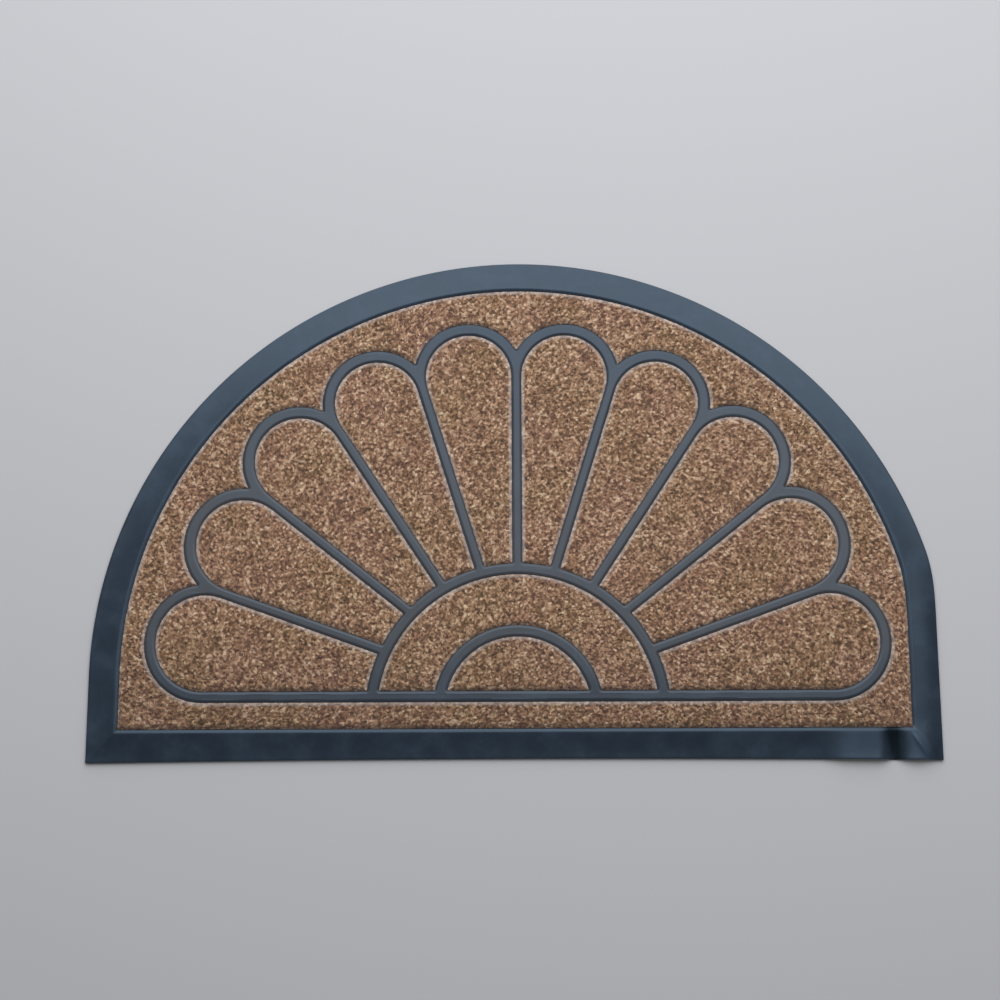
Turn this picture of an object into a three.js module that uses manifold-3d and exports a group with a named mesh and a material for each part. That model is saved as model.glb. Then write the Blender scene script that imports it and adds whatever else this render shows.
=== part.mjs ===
// Half-moon doormat: one moulded rubber base with a bevelled border and a fan of raised ribs,
// and a needle-punched carpet inlay in each of the fields between the ribs.
// Millimetres, +Z up. The mat lies on z = 0, with its straight front edge towards -Y.

import * as THREE from 'three';
import { mergeVertices } from 'three/addons/utils/BufferGeometryUtils.js';
import Module from 'manifold-3d';

const wasm = await Module();
wasm.setup();

// Outline of the whole mat, measured from the arc's centre line and the front corners
const WIDTH = 740;
const DEPTH = 450;
const ARC_RADIUS = 375;
const ARC_Y = DEPTH - ARC_RADIUS;
const RIGHT_EDGE = WIDTH - ARC_RADIUS;
const SIDE_SOFTNESS = 6;
const FRONT_BOW = 2.5;
const ARC_STEPS = 72;

// Border: its inner edge, and the heights across it
const FIELD_RADIUS = 347.6;
const FIELD_RIGHT = 338.9;
const FIELD_FRONT = 28.3;
const LIP_WIDTH = 4;
const RIM_HEIGHT = 3.2;
const EDGE_ROUNDING = 0.9;

// Heights of the moulding and the carpet
const FLOOR = 2.4;
const TOP = 7.2;
const SHOULDER_FOOT = 4.8;
const SHOULDER_WIDTH = 1.2;
const CARPET_TOP = 7;
const CARPET_ROLL = [
  { height: 4.9, inset: 0 },
  { height: 6.5, inset: 0.8 },
  { height: CARPET_TOP, inset: 2.4 },
];
const GAP = 0.3;

// Ribs of the fan, about its upright axis. Each spoke's line leaves the axis at foot, and a petal's
// round head touches the spokes on both of its sides.
const FAN_X = -1.5;
const HALF_SPOKE = 4.4;
const BASE_RIB = { low: 51, high: 60.8 };
const HUB_RING = { y: 40.2, inner: 122.6, outer: 132.8 };
const SUN_RING = { y: 44.2, inner: 63.7, outer: 74.1 };
const HEAD_RIB = 10.8;
const SPOKES = [
  { angle: 90, foot: 0 },
  { angle: 72.56, foot: 63 },
  { angle: 56.6, foot: 51.9 },
  { angle: 38.5, foot: 54.5 },
  { angle: 19.8, foot: 53.75 },
];
const HEADS = [
  { name: 'first', radius: 38.46, rib: HEAD_RIB },
  { name: 'second', radius: 38.06, rib: HEAD_RIB },
  { name: 'third', radius: 39.81, rib: HEAD_RIB },
  { name: 'fourth', radius: 40.96, rib: HEAD_RIB },
  { name: 'end', radius: 42.1, rib: BASE_RIB.high - BASE_RIB.low },
];
const HEAD_STEPS = 16;
const RING_STEPS = 32;
const HUB_STEP = 6;

// Buckle in the front border near its right corner: two low crests with a pinched valley between
const BUCKLE = { from: 282, valley: 321, to: 364, crest: 2.6, reach: FIELD_FRONT };
const FRONT_STATIONS = { coarse: 56, fine: 5.5, corner: 45 };

// Finishes
const RUBBER = { color: 0x4a5866, roughness: 0.62, metalness: 0 };
const CARPET = { color: 0x80674f, roughness: 0.97, metalness: 0 };

const radians = THREE.MathUtils.degToRad;
const point = (x, y) => new THREE.Vector2(x, y);

// Points on a circle about (x, y), from one angle to another in degrees, both ends included
function arc(x, y, radius, from, to, steps) {
  return Array.from({ length: steps + 1 }, (_, i) => {
    const angle = radians(from + ((to - from) * i) / steps);
    return point(x + radius * Math.cos(angle), y + radius * Math.sin(angle));
  });
}

// The lesser of two values, eased where they come within softness of each other
function softLeast(a, b, softness) {
  const overlap = Math.max(softness - Math.abs(a - b), 0) / softness;
  return Math.min(a, b) - (overlap * overlap * softness) / 4;
}

// Stations along the front edge, close together where the border buckles
function frontStations() {
  const stations = [];
  for (let x = -ARC_RADIUS + FRONT_STATIONS.corner; x < BUCKLE.from; x += FRONT_STATIONS.coarse) {
    stations.push(x);
  }
  for (let x = BUCKLE.from; x < BUCKLE.to; x += FRONT_STATIONS.fine) {
    stations.push(x);
  }
  return stations;
}

// A station moved in so that the last stretch before each corner fits a narrower outline
function drawnIn(x, left, right) {
  const leftStart = -ARC_RADIUS + FRONT_STATIONS.corner;
  const rightStart = RIGHT_EDGE - FRONT_STATIONS.corner;
  if (x < leftStart) {
    return leftStart - ((leftStart - x) * (leftStart - left)) / FRONT_STATIONS.corner;
  }
  if (x > rightStart) {
    return rightStart + ((x - rightStart) * (right - rightStart)) / FRONT_STATIONS.corner;
  }
  return x;
}

// Half-moon outline, anticlockwise from the left front corner: a straight front, an upright right
// side that runs softly into the arc, and the arc round to the left side
function halfMoon(radius, right, frontAt) {
  const front = [-ARC_RADIUS, ...frontStations(), RIGHT_EDGE].map((x) => {
    const moved = drawnIn(x, -radius, right);
    return point(moved, frontAt(moved));
  });
  const round = arc(0, ARC_Y, radius, 0, 180, ARC_STEPS).map((p) =>
    point(softLeast(p.x, right, SIDE_SOFTNESS), p.y),
  );
  return [...front, ...round];
}

// Outline grown by a distance, or shrunk by a negative one, with each corner kept as a mitre
function grown(outline, distance) {
  const direction = (from, to) => to.clone().sub(from).normalize();
  return outline.map((p, i) => {
    const before = direction(outline.at(i - 1), p);
    const after = direction(p, outline[(i + 1) % outline.length]);
    const normal = point(before.y + after.y, -before.x - after.x).normalize();
    const mitre = distance / (normal.x * before.y - normal.y * before.x);
    return point(p.x + normal.x * mitre, p.y + normal.y * mitre);
  });
}

// Closed solid through a stack of levels from the bottom up. A level is a height, an outline and
// any holes, each with as many points as on the other levels. Its ends are flat.
function stacked(levels) {
  const vertices = [];
  const triangles = [];
  const count = levels[0].rings.reduce((sum, ring) => sum + ring.length, 0);
  levels.forEach(({ height, rings }) => {
    rings.flat().forEach((p) => vertices.push(p.x, p.y, height));
  });
  let start = 0;
  levels[0].rings.forEach((ring) => {
    for (let level = 0; level < levels.length - 1; level += 1) {
      for (let i = 0; i < ring.length; i += 1) {
        const a = level * count + start + i;
        const b = level * count + start + ((i + 1) % ring.length);
        triangles.push(a, b, b + count, a, b + count, a + count);
      }
    }
    start += ring.length;
  });
  const [bottom, top] = [levels[0], levels.at(-1)];
  const last = (levels.length - 1) * count;
  THREE.ShapeUtils.triangulateShape(bottom.rings[0], bottom.rings.slice(1)).forEach(([a, b, c]) => {
    triangles.push(a, c, b);
  });
  THREE.ShapeUtils.triangulateShape(top.rings[0], top.rings.slice(1)).forEach(([a, b, c]) => {
    triangles.push(last + a, last + b, last + c);
  });
  const geometry = new THREE.BufferGeometry();
  geometry.setAttribute('position', new THREE.Float32BufferAttribute(vertices, 3));
  geometry.setIndex(triangles);
  return geometry;
}

// Levels of a field's outlines, each grown into the field's surroundings by a distance of its own
function levelsOf(rings, steps) {
  return steps.map(({ height, growth }) => ({
    height,
    rings: rings.map((ring) => grown(ring, growth)),
  }));
}

// Pocket in the moulding: upright up to the shoulder's foot, then opening out to the rib's flat top
function pocket(rings) {
  const slope = SHOULDER_WIDTH / (TOP - SHOULDER_FOOT);
  return stacked(
    levelsOf(rings, [
      { height: FLOOR, growth: GAP },
      { height: SHOULDER_FOOT, growth: GAP },
      { height: TOP + 1, growth: GAP + slope * (TOP + 1 - SHOULDER_FOOT) },
    ]),
  );
}

// Carpet inlay: the pocket's field, with its upper edge rolled down all round
function inlay(rings) {
  return stacked(
    levelsOf(rings, [
      { height: FLOOR + GAP, growth: 0 },
      ...CARPET_ROLL.map(({ height, inset }) => ({ height, growth: -inset })),
    ]),
  );
}

// Where two lines meet, each given by a point on it and its angle in degrees
function crossing(p, angle, q, other) {
  const [a, b] = [radians(angle), radians(other)];
  const along = ((q.x - p.x) * Math.sin(b) - (q.y - p.y) * Math.cos(b)) / Math.sin(b - a);
  return point(p.x + along * Math.cos(a), p.y + along * Math.sin(a));
}

// Edge line of a spoke, moved sideways from its middle. Positive is to the left, looking outwards.
function spokeEdge({ angle, foot }, aside) {
  const across = radians(angle + 90);
  return { p: point(aside * Math.cos(across), foot + aside * Math.sin(across)), angle };
}

// Where a line leaves a circle about (0, y), on its far side along the line's angle
function onRing({ p, angle }, y, radius) {
  const along = point(Math.cos(radians(angle)), Math.sin(radians(angle)));
  const from = p.clone().sub(point(0, y));
  const middle = -from.dot(along);
  const reach = Math.sqrt(radius * radius - from.lengthSq() + middle * middle);
  return p.clone().addScaledVector(along, middle + reach);
}

// The petals on the right of the axis, from the upright spoke round to the base rib. Each has the
// lines of its two sides and the circle of its head, which touches both.
const petals = HEADS.map((head, i) => {
  const upper = spokeEdge(SPOKES[i], -HALF_SPOKE);
  const lower =
    i + 1 < SPOKES.length
      ? spokeEdge(SPOKES[i + 1], HALF_SPOKE)
      : { p: point(0, BASE_RIB.high), angle: 0 };
  const besideUpper = spokeEdge(SPOKES[i], -HALF_SPOKE - head.radius).p;
  const across = radians(lower.angle + 90);
  const besideLower = point(
    lower.p.x + head.radius * Math.cos(across),
    lower.p.y + head.radius * Math.sin(across),
  );
  const centre = crossing(besideUpper, upper.angle, besideLower, lower.angle);
  return { ...head, upper, lower, centre };
});

// Field of one petal: along the hub ring, out along its lower side, round its head and back in
function petalField({ upper, lower, centre, radius }) {
  const hub = point(0, HUB_RING.y);
  const inner = onRing(upper, hub.y, HUB_RING.outer);
  const outer = onRing(lower, hub.y, HUB_RING.outer);
  const [from, to] = [inner, outer].map((p) =>
    THREE.MathUtils.radToDeg(Math.atan2(p.y - hub.y, p.x)),
  );
  const along = arc(0, hub.y, HUB_RING.outer, from, to, Math.ceil((from - to) / HUB_STEP));
  const head = arc(centre.x, centre.y, radius, lower.angle - 90, upper.angle + 90, HEAD_STEPS);
  return [...along, ...head];
}

// Outer meeting point of two heads' circles, given by their middles and radii, a after b clockwise
function circlesMeet(a, ra, b, rb) {
  const between = b.clone().sub(a);
  const span = between.length();
  const along = (span * span + ra * ra - rb * rb) / (2 * span);
  const aside = Math.sqrt(ra * ra - along * along);
  between.divideScalar(span);
  return point(
    a.x + between.x * along + between.y * aside,
    a.y + between.y * along - between.x * aside,
  );
}

const mirrored = (outline) => outline.map((p) => point(-p.x, p.y)).reverse();
const onFan = (outline) => outline.map((p) => point(p.x + FAN_X, p.y));
const angleAt = (centre, p) => THREE.MathUtils.radToDeg(Math.atan2(p.y - centre.y, p.x - centre.x));

// Outer edge of the fan's ribs: one arc round each head, with a sharp notch between two heads, and
// the base rib's lower edge
function fanOutline() {
  const notches = petals.map((petal, i) => {
    const twin = { ...petal, centre: point(-petal.centre.x, petal.centre.y) };
    const next = i === 0 ? twin : petals[i - 1];
    return circlesMeet(petal.centre, petal.radius + petal.rib, next.centre, next.radius + next.rib);
  });
  const half = petals.flatMap((petal, i) => {
    const isEnd = i === petals.length - 1;
    const from = angleAt(petal.centre, notches[i]);
    const to = isEnd ? -90 : angleAt(petal.centre, notches[i + 1]);
    const { x, y } = petal.centre;
    const round = arc(x, y, petal.radius + petal.rib, from, to, HEAD_STEPS);
    return isEnd ? round : round.slice(0, -1);
  });
  const right = half.slice(1).reverse();
  return [...right, notches[0], ...mirrored(right)];
}

// Field between the hub ring and the small ring, and the field inside the small ring
function bandField() {
  const hubEnd = THREE.MathUtils.radToDeg(Math.asin((BASE_RIB.high - HUB_RING.y) / HUB_RING.inner));
  const sunEnd = THREE.MathUtils.radToDeg(Math.asin((BASE_RIB.high - SUN_RING.y) / SUN_RING.outer));
  return [
    ...arc(0, HUB_RING.y, HUB_RING.inner, hubEnd, 180 - hubEnd, RING_STEPS),
    ...arc(0, SUN_RING.y, SUN_RING.outer, 180 - sunEnd, sunEnd, RING_STEPS),
  ];
}
function sunField() {
  const end = THREE.MathUtils.radToDeg(Math.asin((BASE_RIB.high - SUN_RING.y) / SUN_RING.inner));
  return arc(0, SUN_RING.y, SUN_RING.inner, end, 180 - end, RING_STEPS);
}

// Every carpet field by name, as an outline and any hole in it
const fields = new Map([
  ['carpet_outer', [halfMoon(FIELD_RADIUS, FIELD_RIGHT, () => FIELD_FRONT), onFan(fanOutline())]],
  ['carpet_band', [onFan(bandField())]],
  ['carpet_sun', [onFan(sunField())]],
]);
petals.forEach((petal) => {
  const outline = anticlockwise(petalField(petal));
  fields.set(`carpet_petal_${petal.name}_right`, [onFan(outline)]);
  fields.set(`carpet_petal_${petal.name}_left`, [onFan(mirrored(outline))]);
});

// An outline turned anticlockwise, if it isn't so already
function anticlockwise(outline) {
  return THREE.ShapeUtils.isClockWise(outline) ? outline.slice().reverse() : outline;
}

// Rise of the border at a point: two crests fade to nothing at the border's inner edge
function buckleRise(x, y) {
  if (x <= BUCKLE.from || x >= BUCKLE.to || y >= BUCKLE.reach) {
    return 0;
  }
  const isLeft = x < BUCKLE.valley;
  const edge = isLeft ? BUCKLE.from : BUCKLE.to;
  const along = (x - edge) / (BUCKLE.valley - edge);
  return BUCKLE.crest * Math.sin(Math.PI * along) * (1 - y / BUCKLE.reach);
}

// A three.js geometry as a manifold solid, and back
function toManifold(geometry) {
  const merged = mergeVertices(geometry, 1e-4);
  return new wasm.Manifold(
    new wasm.Mesh({
      numProp: 3,
      vertProperties: new Float32Array(merged.attributes.position.array),
      triVerts: new Uint32Array(merged.index.array),
    }),
  );
}
function fromManifold(solid) {
  const { vertProperties, triVerts, numProp } = solid.getMesh();
  const vertices = [];
  for (let i = 0; i < vertProperties.length; i += numProp) {
    vertices.push(vertProperties[i], vertProperties[i + 1], vertProperties[i + 2]);
  }
  const geometry = new THREE.BufferGeometry();
  geometry.setAttribute('position', new THREE.Float32BufferAttribute(vertices, 3));
  geometry.setIndex(Array.from(triVerts));
  return geometry;
}

// Rubber base: a slab with a sloping border round a raised lip, less one pocket for each field
function rubberBase() {
  const frontAt = (x) => FRONT_BOW * (1 - (x / RIGHT_EDGE) ** 2);
  const outside = halfMoon(ARC_RADIUS, RIGHT_EDGE, (x) => Math.max(frontAt(x), 0));
  const inside = halfMoon(FIELD_RADIUS, FIELD_RIGHT, () => FIELD_FRONT);
  const slab = stacked([
    { height: 0, rings: [inside] },
    { height: 0, rings: [grown(outside, -EDGE_ROUNDING)] },
    { height: EDGE_ROUNDING, rings: [outside] },
    { height: RIM_HEIGHT - EDGE_ROUNDING, rings: [outside] },
    { height: RIM_HEIGHT, rings: [grown(outside, -EDGE_ROUNDING)] },
    { height: TOP, rings: [grown(inside, LIP_WIDTH)] },
  ]);
  let solid = toManifold(slab);
  fields.forEach((rings) => {
    solid = solid.subtract(toManifold(pocket(withHoles(rings))));
  });
  const geometry = fromManifold(solid);
  const { position } = geometry.attributes;
  for (let i = 0; i < position.count; i += 1) {
    position.setZ(i, position.getZ(i) + buckleRise(position.getX(i), position.getY(i)));
  }
  return geometry;
}

// A field's rings with its holes turned clockwise, so that growth moves every edge outwards
function withHoles([outline, ...holes]) {
  return [anticlockwise(outline), ...holes.map((hole) => anticlockwise(hole).slice().reverse())];
}

function namedMesh(name, geometry, finish) {
  const mesh = new THREE.Mesh(geometry, new THREE.MeshStandardMaterial(finish));
  mesh.name = name;
  return mesh;
}

const mat = new THREE.Group();
mat.add(namedMesh('rubber_base', rubberBase(), RUBBER));
fields.forEach((rings, name) => {
  mat.add(namedMesh(name, inlay(withHoles(rings)), CARPET));
});
mat.position.set(ARC_RADIUS - WIDTH / 2, -DEPTH / 2, 0);

const doormat = new THREE.Group();
doormat.add(mat);

export default doormat;
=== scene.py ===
"""Half-moon doormat: a moulded rubber base and its needle-punched carpet inlays.

Shapes are worked out in millimetres, measured from the arc's centre line and the mat's front edge,
and go into Blender in metres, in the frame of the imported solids.
"""

import logging
import math
from collections.abc import Callable
from dataclasses import dataclass
from enum import Enum
from functools import partial

import bpy
import numpy as np
from mathutils import Matrix, Vector
from mathutils.geometry import tessellate_polygon


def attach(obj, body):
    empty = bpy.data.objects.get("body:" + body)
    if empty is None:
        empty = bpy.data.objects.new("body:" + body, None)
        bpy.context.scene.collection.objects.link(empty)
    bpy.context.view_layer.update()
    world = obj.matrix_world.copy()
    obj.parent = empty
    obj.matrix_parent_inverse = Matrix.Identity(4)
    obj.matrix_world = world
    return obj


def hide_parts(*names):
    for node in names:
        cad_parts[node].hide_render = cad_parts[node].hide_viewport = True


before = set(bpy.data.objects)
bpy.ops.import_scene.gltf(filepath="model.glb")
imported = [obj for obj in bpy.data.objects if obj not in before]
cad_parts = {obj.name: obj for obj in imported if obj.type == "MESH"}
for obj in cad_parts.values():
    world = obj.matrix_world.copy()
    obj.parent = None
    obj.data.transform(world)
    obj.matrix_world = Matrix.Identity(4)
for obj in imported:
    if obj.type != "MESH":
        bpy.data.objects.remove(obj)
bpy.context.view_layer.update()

MM = 0.001
SEED = 20611
RING_LENGTH = 1.725  # developed length of the outer inlay's middle line, in metres
LOG = logging.getLogger("doormat")


class Slot(Enum):
    """Material slots of the record."""

    RUBBER = "moulded_rubber"
    CARPET = "needle_punched_carpet"


class Side(Enum):
    """Which half of the fan a petal lies in, as the sign of its X."""

    RIGHT = 1
    LEFT = -1


# Outlines and curves


def direction(angle: float) -> np.ndarray:
    """Unit vector at an angle in degrees from +X.

    Args:
        angle: Degrees, anticlockwise.

    Returns:
        The vector (cos, sin).
    """
    return np.array([math.cos(math.radians(angle)), math.sin(math.radians(angle))])


def arc(
    centre: np.ndarray, radius: float, start: float, stop: float, spacing: float = 0.5
) -> np.ndarray:
    """Points on a circle: centre plus radius times (cos, sin) of evenly spaced angles.

    Args:
        centre: Middle of the circle.
        radius: Its radius in mm.
        start: First angle in degrees.
        stop: Last angle in degrees.
        spacing: Distance between points in mm.

    Returns:
        An (n, 2) array, both ends included.
    """
    count = max(int(abs(math.radians(stop - start)) * radius / spacing), 2)
    angles = np.radians(np.linspace(start, stop, count + 1))
    return centre + radius * np.stack([np.cos(angles), np.sin(angles)], axis=1)


def crossing(p: np.ndarray, p_angle: float, q: np.ndarray, q_angle: float) -> np.ndarray:
    """Where two lines meet, from p + s * direction(p_angle) = q + t * direction(q_angle).

    Args:
        p: A point on the first line.
        p_angle: Its angle in degrees.
        q: A point on the second line.
        q_angle: Its angle in degrees.

    Returns:
        The common point.
    """
    a, b = direction(p_angle), direction(q_angle)
    s, _ = np.linalg.solve(np.stack([a, -b], axis=1), q - p)
    return p + s * a


def circles_meet(a: np.ndarray, ra: float, b: np.ndarray, rb: float) -> np.ndarray:
    """Right-hand meeting point of two circles, looking from the first middle to the second.

    The point lies along the line of middles by (d² + ra² - rb²) / 2d, and aside of it by what is
    left of ra.

    Args:
        a: Middle of the first circle.
        ra: Its radius.
        b: Middle of the second circle.
        rb: Its radius.

    Returns:
        The meeting point.
    """
    span = float(np.linalg.norm(b - a))
    way = (b - a) / span
    along = (span**2 + ra**2 - rb**2) / (2 * span)
    aside = math.sqrt(ra**2 - along**2)
    return a + way * along + np.array([way[1], -way[0]]) * aside


def lengths(points: np.ndarray) -> np.ndarray:
    """Running length along a line of points, starting at 0."""
    steps = np.linalg.norm(np.diff(points, axis=0), axis=1)
    return np.concatenate([[0.0], np.cumsum(steps)])


def along(points: np.ndarray, fractions: np.ndarray) -> np.ndarray:
    """Points at given fractions of a line's length, by linear interpolation over its running length.

    Args:
        points: The line, (n, 2).
        fractions: Values from 0 to 1.

    Returns:
        One point for each fraction.
    """
    at = lengths(points)
    wanted = np.asarray(fractions) * at[-1]
    return np.stack([np.interp(wanted, at, points[:, k]) for k in range(points.shape[1])], axis=1)


def outward(points: np.ndarray) -> np.ndarray:
    """Unit normals of a closed anticlockwise line, from the difference of each point's neighbours."""
    tangent = np.roll(points, -1, axis=0) - np.roll(points, 1, axis=0)
    normal = np.stack([tangent[:, 1], -tangent[:, 0]], axis=1)
    return normal / np.linalg.norm(normal, axis=1, keepdims=True)


def eased(share: np.ndarray) -> np.ndarray:
    """From 0 to 1 as a share does, but with a soft start and stop, by 3s² - 2s³."""
    share = np.clip(share, 0, 1)
    return share * share * (3 - 2 * share)


@dataclass(frozen=True)
class Loop:
    """A closed anticlockwise outline with four corners that divide it into sides.

    Attributes:
        points: The outline, (n, 2), in mm.
        corners: Index of the point that starts each side.
    """

    points: np.ndarray
    corners: tuple[int, ...]

    @classmethod
    def from_sides(cls, sides: list[np.ndarray], rounding: float, step: float = 0.4) -> "Loop":
        """Joins sides end to end and rounds the corners.

        The outline is respaced evenly and blurred along its length by a Gaussian, through its
        Fourier transform, which rounds each corner and leaves straights and wide arcs alone.

        Args:
            sides: Lines of points, each starting where the last one ends.
            rounding: Width of the Gaussian in mm.
            step: Spacing of the result in mm.

        Returns:
            The rounded loop, with a corner where each side starts.
        """
        joined = np.concatenate([side[:-1] for side in sides] + [sides[0][:1]])
        total = lengths(joined)[-1]
        count = int(total / step)
        even = along(joined, np.arange(count) / count)
        waves = np.fft.fftfreq(count, total / count)
        blur = np.exp(-2 * (np.pi * waves * rounding) ** 2)[:, None]
        soft = np.real(np.fft.ifft(np.fft.fft(even, axis=0) * blur, axis=0))
        starts = np.cumsum([0.0] + [lengths(side)[-1] for side in sides[:-1]])
        return cls(soft, tuple(int(round(s / total * count)) % count for s in starts))

    def side(self, index: int, fractions: np.ndarray) -> np.ndarray:
        """Points along one side.

        Args:
            index: Which side, from 0.
            fractions: Places along it from 0 to 1.

        Returns:
            One point for each fraction.
        """
        start = self.corners[index]
        stop = self.corners[(index + 1) % len(self.corners)]
        stop += len(self.points) if stop <= start else 0
        ids = np.arange(start, stop + 1) % len(self.points)
        return along(self.points[ids], fractions)

    def respaced(self, coarse: float, turn: float) -> "Loop":
        """The same outline with fewer points on its straights than on its bends.

        Points lie evenly in the running sum of 1 / coarse plus turning over turn.

        Args:
            coarse: Greatest spacing in mm.
            turn: Turning between neighbours in degrees.

        Returns:
            A loop without corners.
        """
        ring = np.concatenate([self.points, self.points[:1]])
        steps = np.linalg.norm(np.diff(ring, axis=0), axis=1)
        heading = np.unwrap(np.arctan2(*np.diff(ring, axis=0).T[::-1]))
        turning = np.abs(np.gradient(heading))
        weight = np.concatenate([[0.0], np.cumsum(steps / coarse + turning / math.radians(turn))])
        wanted = np.linspace(0, weight[-1], int(weight[-1]) + 1)[:-1]
        points = np.stack([np.interp(wanted, weight, ring[:, k]) for k in range(2)], axis=1)
        return Loop(points, ())

    def mirrored(self) -> "Loop":
        """The loop mirrored in the Y axis, still anticlockwise."""
        return Loop((self.points * (-1, 1))[::-1], ())

    def moved(self, x: float) -> "Loop":
        """The loop moved along X."""
        return Loop(self.points + (x, 0), self.corners)


# Sizes


@dataclass(frozen=True)
class MatSizes:
    """Driving sizes of the whole mat, in mm."""

    width: float = 740.0
    depth: float = 450.0
    arc_radius: float = 375.0
    side_softness: float = 6.0
    front_bow: float = 2.5
    field_radius: float = 347.6
    field_right: float = 338.9
    field_front: float = 28.3
    floor: float = 2.4
    top: float = 7.2

    @property
    def arc_y(self) -> float:
        """Y of the arc's middle."""
        return self.depth - self.arc_radius

    @property
    def right_edge(self) -> float:
        """X of the drawn-in right side."""
        return self.width - self.arc_radius

    @property
    def shift(self) -> np.ndarray:
        """From the mat's own measures to the frame's origin."""
        return np.array([self.arc_radius - self.width / 2, -self.depth / 2, 0.0])

    def to_frame(self, points: np.ndarray) -> np.ndarray:
        """Points in mm from the front edge as points in metres in the frame."""
        return (points + self.shift) * MM


@dataclass(frozen=True)
class Buckle:
    """Buckle in the front border: two crests with a pinched valley, fading to nothing inwards.

    Attributes:
        start: X where the left crest starts to climb, over the length climb.
        valley: X of the crease, which the left crest meets over the length drop.
        stop: X where the right crest ends.
        crest: Greatest rise.
        reach: Y at which the buckle has faded out.
        pinch: Share of the height that the crease takes, as a bell pinch_width wide and
            pinch_aside right of the valley, which fades inwards from pinch_fade.
        crease_shade_width: Half width of the painted shade in the crease, which starts
        crease_shade_lean right of the valley at the front, has crease_shade_front of its strength
        there and gets wider inwards by crease_shade_spread.
        crest_highlight_clear: How far the painted highlight on the crests keeps from the crease
            and from the corner.
        crest_highlight_ease: Lengths over which the painted highlight fades, from left to right.
        crest_highlight_right: Strength of the painted highlight on the right crest.
        flat_corner: X from which the border rolls over, by flat_share, over the length flat_ease.
    """

    start: float = 256.0
    climb: float = 30.0
    drop: float = 12.0
    valley: float = 321.0
    stop: float = 364.0
    crest: float = 3.7
    reach: float = 28.3
    pinch: float = 0.5
    pinch_aside: float = 3.0
    pinch_width: float = 6.5
    pinch_fade: float = 1.25
    crease_shade_width: float = 6.0
    crease_shade_lean: float = 4.0
    crease_shade_front: float = 0.75
    crease_shade_spread: float = 0.35
    crest_highlight_clear: tuple[float, float, float] = (6.0, 9.0, 6.0)
    crest_highlight_ease: tuple[float, float, float] = (8.0, 9.0, 10.0)
    crest_highlight_right: float = 1.2
    flat_corner: float = 346.0
    flat_ease: float = 10.0
    flat_share: float = 0.5

    def rise(self, x: np.ndarray, y: np.ndarray) -> np.ndarray:
        """Rise at points: a long crest left of the valley and a squared sine right of it.

        Both get less with distance inwards.

        Args:
            x: X in mm.
            y: Y in mm.

        Returns:
            Rise in mm.
        """
        left = eased((x - self.start) / self.climb) * eased((self.valley - x) / self.drop)
        share = np.clip((x - self.valley) / (self.stop - self.valley), 0, 1)
        fade = np.clip(1 - y / self.reach, 0, 1)
        return self.crest * (left + np.sin(np.pi * share) ** 2) * fade

    def crease(self, x: np.ndarray, y: np.ndarray) -> np.ndarray:
        """Share of the height that the crease takes: a narrow bell across X, less inwards."""
        bell = np.exp(-(((x - self.valley - self.pinch_aside) / self.pinch_width) ** 2))
        return self.pinch * bell * np.clip(self.pinch_fade - y / self.reach, 0, 1)

    def crease_shading(self, x: np.ndarray, y: np.ndarray) -> np.ndarray:
        """Painted shade in the crease: a bell across X that leans left and widens inwards."""
        inwards = np.clip(y / self.reach, 0, 1)
        middle = self.valley + self.crease_shade_lean * (1 - inwards)
        width = self.crease_shade_width * (1 + self.crease_shade_spread * inwards)
        strength = self.crease_shade_front + (1 - self.crease_shade_front) * inwards
        return np.exp(-(((x - middle) / width) ** 2)) * strength * (y < self.reach + 1)

    def crest_highlighting(self, x: np.ndarray) -> np.ndarray:
        """How far the painted highlight shows on the two crests: an eased plateau across X on each."""
        before, after, corner = self.crest_highlight_clear
        falls, climbs, ends = self.crest_highlight_ease
        left = eased((x - self.start) / self.climb) * eased((self.valley - before - x) / falls)
        right = eased((x - self.valley - after) / climbs) * eased((self.stop - corner - x) / ends)
        return left + self.crest_highlight_right * right

    def flattened(self, outline: np.ndarray) -> np.ndarray:
        """From 0 to 1, how far each column of the front border rolls over, as the right side does."""
        x, y = outline.T
        return self.flat_share * eased((x - self.flat_corner) / self.flat_ease) * (y < self.reach)


@dataclass(frozen=True)
class Spoke:
    """A straight rib: its angle in degrees, and where its line meets the fan's axis."""

    angle: float
    foot: float

    def beside(self, aside: float) -> np.ndarray:
        """A point on the spoke's line moved to its left, looking outwards."""
        return np.array([0.0, self.foot]) + aside * direction(self.angle + 90)


@dataclass(frozen=True)
class Head:
    """Round head of a petal: the radius inside it and the width of the rib round it, in mm."""

    name: str
    radius: float
    rib: float


@dataclass(frozen=True)
class Petal:
    """A petal on the right of the axis: its head, the lines of its sides and the head's middle."""

    head: Head
    upper: tuple[np.ndarray, float]
    lower: tuple[np.ndarray, float]
    centre: np.ndarray


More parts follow.
